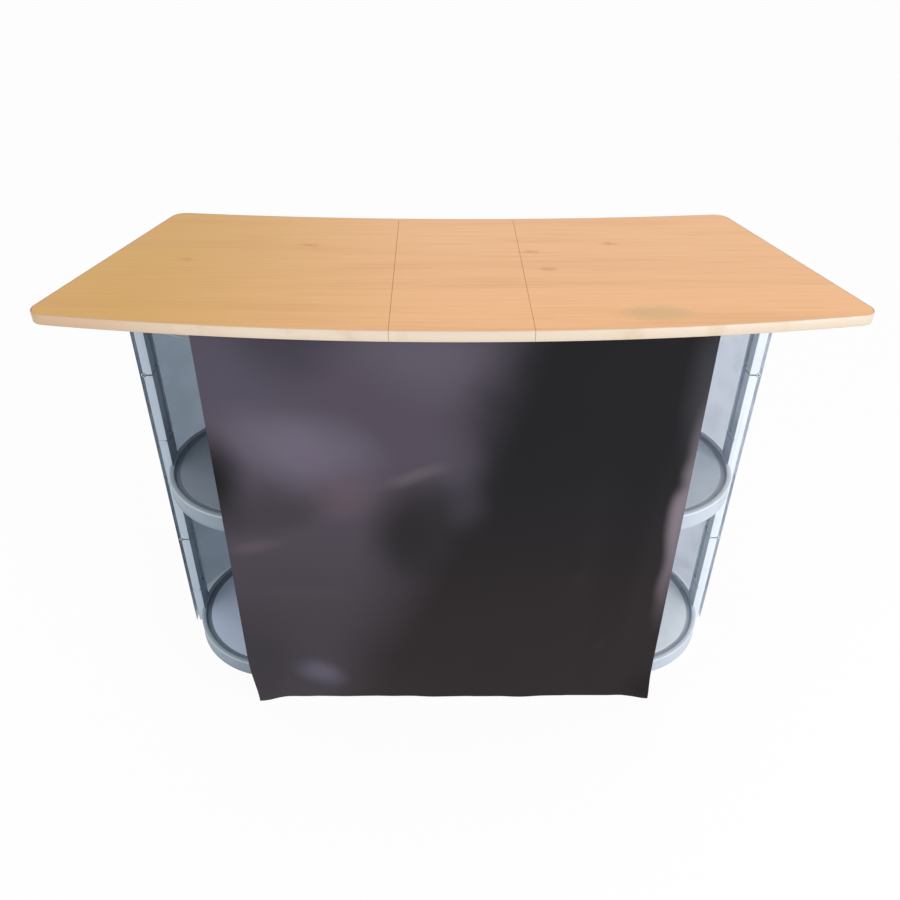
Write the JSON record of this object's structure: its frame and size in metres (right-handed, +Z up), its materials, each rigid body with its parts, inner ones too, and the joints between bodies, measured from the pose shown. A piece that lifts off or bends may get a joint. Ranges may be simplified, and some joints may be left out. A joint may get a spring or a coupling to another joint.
{
  "type": "folding portable bar",
  "caption": "Portable promotion bar: a bowed wood-effect folding top on round collapsible shelf towers, with a dark banner hung across the front.",
  "frame": {"origin": "on the floor under the middle of the top", "axes": "+X along the bar to the customer's right, +Y towards the barkeeper, +Z up"},
  "size_m": [1.3844, 0.5229, 0.9003],
  "materials": {
    "rim_plastic": "satin grey moulded plastic",
    "milky_shelf": "milky white acrylic sheet",
    "frosted_shelf": "frosted translucent grey acrylic sheet",
    "aluminium": "satin anodised extrusion",
    "clear_sheet": "blue-grey translucent flexible sheet",
    "beech_board": "beech-effect laminate with a soft sheen",
    "cream_edge": "pale cream edge band",
    "hinge_steel": "plated steel piano hinge",
    "black_sheet": "near-black glossy banner sheet",
    "hook_tape": "black hook tape"
  },
  "bodies": {
    "bases": {"left_base_ring": "rim_plastic", "left_base_shelf": "milky_shelf", "left_lower_wrap": "clear_sheet", "right_base_ring": "rim_plastic", "right_base_shelf": "milky_shelf", "right_lower_wrap": "clear_sheet"},
    "left_middle": {"left_middle_ring": "rim_plastic", "left_middle_shelf": "frosted_shelf", "left_upper_wrap": "clear_sheet"},
    "left_top": {"left_top_ring": "rim_plastic", "left_top_shelf": "frosted_shelf"},
    "left_lower_outer_post_bottom": {"left_lower_outer_post_bottom": "aluminium"},
    "left_lower_outer_post_top": {"left_lower_outer_post_top": "aluminium"},
    "left_lower_front_post_bottom": {"left_lower_front_post_bottom": "aluminium"},
    "left_lower_front_post_top": {"left_lower_front_post_top": "aluminium"},
    "left_lower_rear_post_bottom": {"left_lower_rear_post_bottom": "aluminium"},
    "left_lower_rear_post_top": {"left_lower_rear_post_top": "aluminium"},
    "left_upper_outer_post_bottom": {"left_upper_outer_post_bottom": "aluminium"},
    "left_upper_outer_post_top": {"left_upper_outer_post_top": "aluminium"},
    "left_upper_front_post_bottom": {"left_upper_front_post_bottom": "aluminium"},
    "left_upper_front_post_top": {"left_upper_front_post_top": "aluminium"},
    "left_upper_rear_post_bottom": {"left_upper_rear_post_bottom": "aluminium"},
    "left_upper_rear_post_top": {"left_upper_rear_post_top": "aluminium"},
    "right_middle": {"right_middle_ring": "rim_plastic", "right_middle_shelf": "frosted_shelf", "right_upper_wrap": "clear_sheet"},
    "right_top": {"right_top_ring": "rim_plastic", "right_top_shelf": "frosted_shelf"},
    "right_lower_outer_post_bottom": {"right_lower_outer_post_bottom": "aluminium"},
    "right_lower_outer_post_top": {"right_lower_outer_post_top": "aluminium"},
    "right_lower_front_post_bottom": {"right_lower_front_post_bottom": "aluminium"},
    "right_lower_front_post_top": {"right_lower_front_post_top": "aluminium"},
    "right_lower_rear_post_bottom": {"right_lower_rear_post_bottom": "aluminium"},
    "right_lower_rear_post_top": {"right_lower_rear_post_top": "aluminium"},
    "right_upper_outer_post_bottom": {"right_upper_outer_post_bottom": "aluminium"},
    "right_upper_outer_post_top": {"right_upper_outer_post_top": "aluminium"},
    "right_upper_front_post_bottom": {"right_upper_front_post_bottom": "aluminium"},
    "right_upper_front_post_top": {"right_upper_front_post_top": "aluminium"},
    "right_upper_rear_post_bottom": {"right_upper_rear_post_bottom": "aluminium"},
    "right_upper_rear_post_top": {"right_upper_rear_post_top": "aluminium"},
    "top_middle": {"middle_panel": "beech_board", "middle_front_edge": "cream_edge", "middle_back_edge": "cream_edge", "left_hinge_middle_leaf": "hinge_steel", "left_hinge_pin": "hinge_steel", "right_hinge_middle_leaf": "hinge_steel", "right_hinge_pin": "hinge_steel", "middle_hook_strip": "hook_tape"},
    "top_left_wing": {"left_wing": "beech_board", "left_wing_edge": "cream_edge", "left_hinge_wing_leaf": "hinge_steel", "left_hook_strip": "hook_tape"},
    "top_right_wing": {"right_wing": "beech_board", "right_wing_edge": "cream_edge", "right_hinge_wing_leaf": "hinge_steel", "right_hook_strip": "hook_tape"},
    "banner": {"front_banner": "black_sheet"}
  },
  "joints": [
    {"name": "tower_fold", "type": "hinge", "parent": "bases", "child": "left_lower_outer_post_bottom", "pos_m": [-0.587, 0.0075, 0.096], "axis": [0, 1, 0], "range_deg": [0, 90], "deforming": ["left_lower_wrap"]},
    {"name": "left_lower_outer_post_elbow", "type": "hinge", "parent": "left_lower_outer_post_bottom", "child": "left_lower_outer_post_top", "pos_m": [-0.6004, 0.0075, 0.255], "axis": [0, -1, 0], "range_deg": [0, 180]},
    {"name": "left_lower_outer_post_head", "type": "hinge", "parent": "left_lower_outer_post_top", "child": "left_middle", "pos_m": [-0.587, 0.0075, 0.414], "axis": [0, 1, 0], "range_deg": [0, 90]},
    {"name": "left_lower_front_post_foot", "type": "hinge", "parent": "bases", "child": "left_lower_front_post_bottom", "pos_m": [-0.296, -0.16051, 0.096], "axis": [-0.866, -0.5, 0], "range_deg": [0, 90]},
    {"name": "left_lower_front_post_elbow", "type": "hinge", "parent": "left_lower_front_post_bottom", "child": "left_lower_front_post_top", "pos_m": [-0.2893, -0.17211, 0.255], "axis": [0.866, 0.5, 0], "range_deg": [0, 180]},
    {"name": "left_lower_rear_post_foot", "type": "hinge", "parent": "bases", "child": "left_lower_rear_post_bottom", "pos_m": [-0.296, 0.17551, 0.096], "axis": [0.866, -0.5, 0], "range_deg": [0, 90]},
    {"name": "left_lower_rear_post_elbow", "type": "hinge", "parent": "left_lower_rear_post_bottom", "child": "left_lower_rear_post_top", "pos_m": [-0.2893, 0.18711, 0.255], "axis": [-0.866, 0.5, 0], "range_deg": [0, 180]},
    {"name": "left_upper_outer_post_foot", "type": "hinge", "parent": "left_middle", "child": "left_upper_outer_post_bottom", "pos_m": [-0.587, 0.0075, 0.518], "axis": [0, 1, 0], "range_deg": [0, 90], "deforming": ["left_upper_wrap"]},
    {"name": "left_upper_outer_post_elbow", "type": "hinge", "parent": "left_upper_outer_post_bottom", "child": "left_upper_outer_post_top", "pos_m": [-0.6004, 0.0075, 0.677], "axis": [0, -1, 0], "range_deg": [0, 180]},
    {"name": "left_upper_outer_post_head", "type": "hinge", "parent": "left_upper_outer_post_top", "child": "left_top", "pos_m": [-0.587, 0.0075, 0.836], "axis": [0, 1, 0], "range_deg": [0, 90]},
    {"name": "left_upper_front_post_foot", "type": "hinge", "parent": "left_middle", "child": "left_upper_front_post_bottom", "pos_m": [-0.296, -0.16051, 0.518], "axis": [-0.866, -0.5, 0], "range_deg": [0, 90]},
    {"name": "left_upper_front_post_elbow", "type": "hinge", "parent": "left_upper_front_post_bottom", "child": "left_upper_front_post_top", "pos_m": [-0.2893, -0.17211, 0.677], "axis": [0.866, 0.5, 0], "range_deg": [0, 180]},
    {"name": "left_upper_rear_post_foot", "type": "hinge", "parent": "left_middle", "child": "left_upper_rear_post_bottom", "pos_m": [-0.296, 0.17551, 0.518], "axis": [0.866, -0.5, 0], "range_deg": [0, 90]},
    {"name": "left_upper_rear_post_elbow", "type": "hinge", "parent": "left_upper_rear_post_bottom", "child": "left_upper_rear_post_top", "pos_m": [-0.2893, 0.18711, 0.677], "axis": [-0.866, 0.5, 0], "range_deg": [0, 180]},
    {"name": "right_lower_outer_post_foot", "type": "hinge", "parent": "bases", "child": "right_lower_outer_post_bottom", "pos_m": [0.587, 0.0075, 0.096], "axis": [0, -1, 0], "range_deg": [0, 90], "deforming": ["right_lower_wrap"]},
    {"name": "right_lower_outer_post_elbow", "type": "hinge", "parent": "right_lower_outer_post_bottom", "child": "right_lower_outer_post_top", "pos_m": [0.6004, 0.0075, 0.255], "axis": [0, 1, 0], "range_deg": [0, 180]},
    {"name": "right_lower_outer_post_head", "type": "hinge", "parent": "right_lower_outer_post_top", "child": "right_middle", "pos_m": [0.587, 0.0075, 0.414], "axis": [0, -1, 0], "range_deg": [0, 90]},
    {"name": "right_lower_front_post_foot", "type": "hinge", "parent": "bases", "child": "right_lower_front_post_bottom", "pos_m": [0.296, -0.16051, 0.096], "axis": [-0.866, 0.5, 0], "range_deg": [0, 90]},
    {"name": "right_lower_front_post_elbow", "type": "hinge", "parent": "right_lower_front_post_bottom", "child": "right_lower_front_post_top", "pos_m": [0.2893, -0.17211, 0.255], "axis": [0.866, -0.5, 0], "range_deg": [0, 180]},
    {"name": "right_lower_rear_post_foot", "type": "hinge", "parent": "bases", "child": "right_lower_rear_post_bottom", "pos_m": [0.296, 0.17551, 0.096], "axis": [0.866, 0.5, 0], "range_deg": [0, 90]},
    {"name": "right_lower_rear_post_elbow", "type": "hinge", "parent": "right_lower_rear_post_bottom", "child": "right_lower_rear_post_top", "pos_m": [0.2893, 0.18711, 0.255], "axis": [-0.866, -0.5, 0], "range_deg": [0, 180]},
    {"name": "right_upper_outer_post_foot", "type": "hinge", "parent": "right_middle", "child": "right_upper_outer_post_bottom", "pos_m": [0.587, 0.0075, 0.518], "axis": [0, -1, 0], "range_deg": [0, 90], "deforming": ["right_upper_wrap"]},
    {"name": "right_upper_outer_post_elbow", "type": "hinge", "parent": "right_upper_outer_post_bottom", "child": "right_upper_outer_post_top", "pos_m": [0.6004, 0.0075, 0.677], "axis": [0, 1, 0], "range_deg": [0, 180]},
    {"name": "right_upper_outer_post_head", "type": "hinge", "parent": "right_upper_outer_post_top", "child": "right_top", "pos_m": [0.587, 0.0075, 0.836], "axis": [0, -1, 0], "range_deg": [0, 90]},
    {"name": "right_upper_front_post_foot", "type": "hinge", "parent": "right_middle", "child": "right_upper_front_post_bottom", "pos_m": [0.296, -0.16051, 0.518], "axis": [-0.866, 0.5, 0], "range_deg": [0, 90]},
    {"name": "right_upper_front_post_elbow", "type": "hinge", "parent": "right_upper_front_post_bottom", "child": "right_upper_front_post_top", "pos_m": [0.2893, -0.17211, 0.677], "axis": [0.866, -0.5, 0], "range_deg": [0, 180]},
    {"name": "right_upper_rear_post_foot", "type": "hinge", "parent": "right_middle", "child": "right_upper_rear_post_bottom", "pos_m": [0.296, 0.17551, 0.518], "axis": [0.866, 0.5, 0], "range_deg": [0, 90]},
    {"name": "right_upper_rear_post_elbow", "type": "hinge", "parent": "right_upper_rear_post_bottom", "child": "right_upper_rear_post_top", "pos_m": [0.2893, 0.18711, 0.677], "axis": [-0.866, -0.5, 0], "range_deg": [0, 180]},
    {"name": "top_lift", "type": "slide", "parent": "left_top", "child": "top_middle", "axis": [0, 0, 1], "range_m": [0, 0.9]},
    {"name": "left_wing_drop", "type": "hinge", "parent": "top_middle", "child": "top_left_wing", "pos_m": [-0.107, -0.01525, 0.8778], "axis": [0, -1, 0], "range_deg": [0, 90]},
    {"name": "right_wing_drop", "type": "hinge", "parent": "top_middle", "child": "top_right_wing", "pos_m": [0.124, -0.01525, 0.8778], "axis": [0, 1, 0], "range_deg": [0, 90]},
    {"name": "banner_off", "type": "slide", "parent": "bases", "child": "banner", "axis": [0, -1, 0], "range_m": [0, 0.4]}
  ],
  "couplings": [
    {"joint": "left_lower_outer_post_elbow", "follows": "tower_fold", "ratio": 2},
    {"joint": "left_lower_outer_post_head", "follows": "tower_fold", "ratio": 1},
    {"joint": "left_lower_front_post_foot", "follows": "tower_fold", "ratio": 1},
    {"joint": "left_lower_front_post_elbow", "follows": "tower_fold", "ratio": 2},
    {"joint": "left_lower_rear_post_foot", "follows": "tower_fold", "ratio": 1},
    {"joint": "left_lower_rear_post_elbow", "follows": "tower_fold", "ratio": 2},
    {"joint": "left_upper_outer_post_foot", "follows": "tower_fold", "ratio": 1},
    {"joint": "left_upper_outer_post_elbow", "follows": "tower_fold", "ratio": 2},
    {"joint": "left_upper_outer_post_head", "follows": "tower_fold", "ratio": 1},
    {"joint": "left_upper_front_post_foot", "follows": "tower_fold", "ratio": 1},
    {"joint": "left_upper_front_post_elbow", "follows": "tower_fold", "ratio": 2},
    {"joint": "left_upper_rear_post_foot", "follows": "tower_fold", "ratio": 1},
    {"joint": "left_upper_rear_post_elbow", "follows": "tower_fold", "ratio": 2},
    {"joint": "right_lower_outer_post_foot", "follows": "tower_fold", "ratio": 1},
    {"joint": "right_lower_outer_post_elbow", "follows": "tower_fold", "ratio": 2},
    {"joint": "right_lower_outer_post_head", "follows": "tower_fold", "ratio": 1},
    {"joint": "right_lower_front_post_foot", "follows": "tower_fold", "ratio": 1},
    {"joint": "right_lower_front_post_elbow", "follows": "tower_fold", "ratio": 2},
    {"joint": "right_lower_rear_post_foot", "follows": "tower_fold", "ratio": 1},
    {"joint": "right_lower_rear_post_elbow", "follows": "tower_fold", "ratio": 2},
    {"joint": "right_upper_outer_post_foot", "follows": "tower_fold", "ratio": 1},
    {"joint": "right_upper_outer_post_elbow", "follows": "tower_fold", "ratio": 2},
    {"joint": "right_upper_outer_post_head", "follows": "tower_fold", "ratio": 1},
    {"joint": "right_upper_front_post_foot", "follows": "tower_fold", "ratio": 1},
    {"joint": "right_upper_front_post_elbow", "follows": "tower_fold", "ratio": 2},
    {"joint": "right_upper_rear_post_foot", "follows": "tower_fold", "ratio": 1},
    {"joint": "right_upper_rear_post_elbow", "follows": "tower_fold", "ratio": 2},
    {"joint": "left_wing_drop", "follows": "top_lift", "rad_per_m": 1.745},
    {"joint": "right_wing_drop", "follows": "top_lift", "rad_per_m": 1.745},
    {"joint": "banner_off", "follows": "tower_fold", "m_per_rad": 0.25}
  ]
}
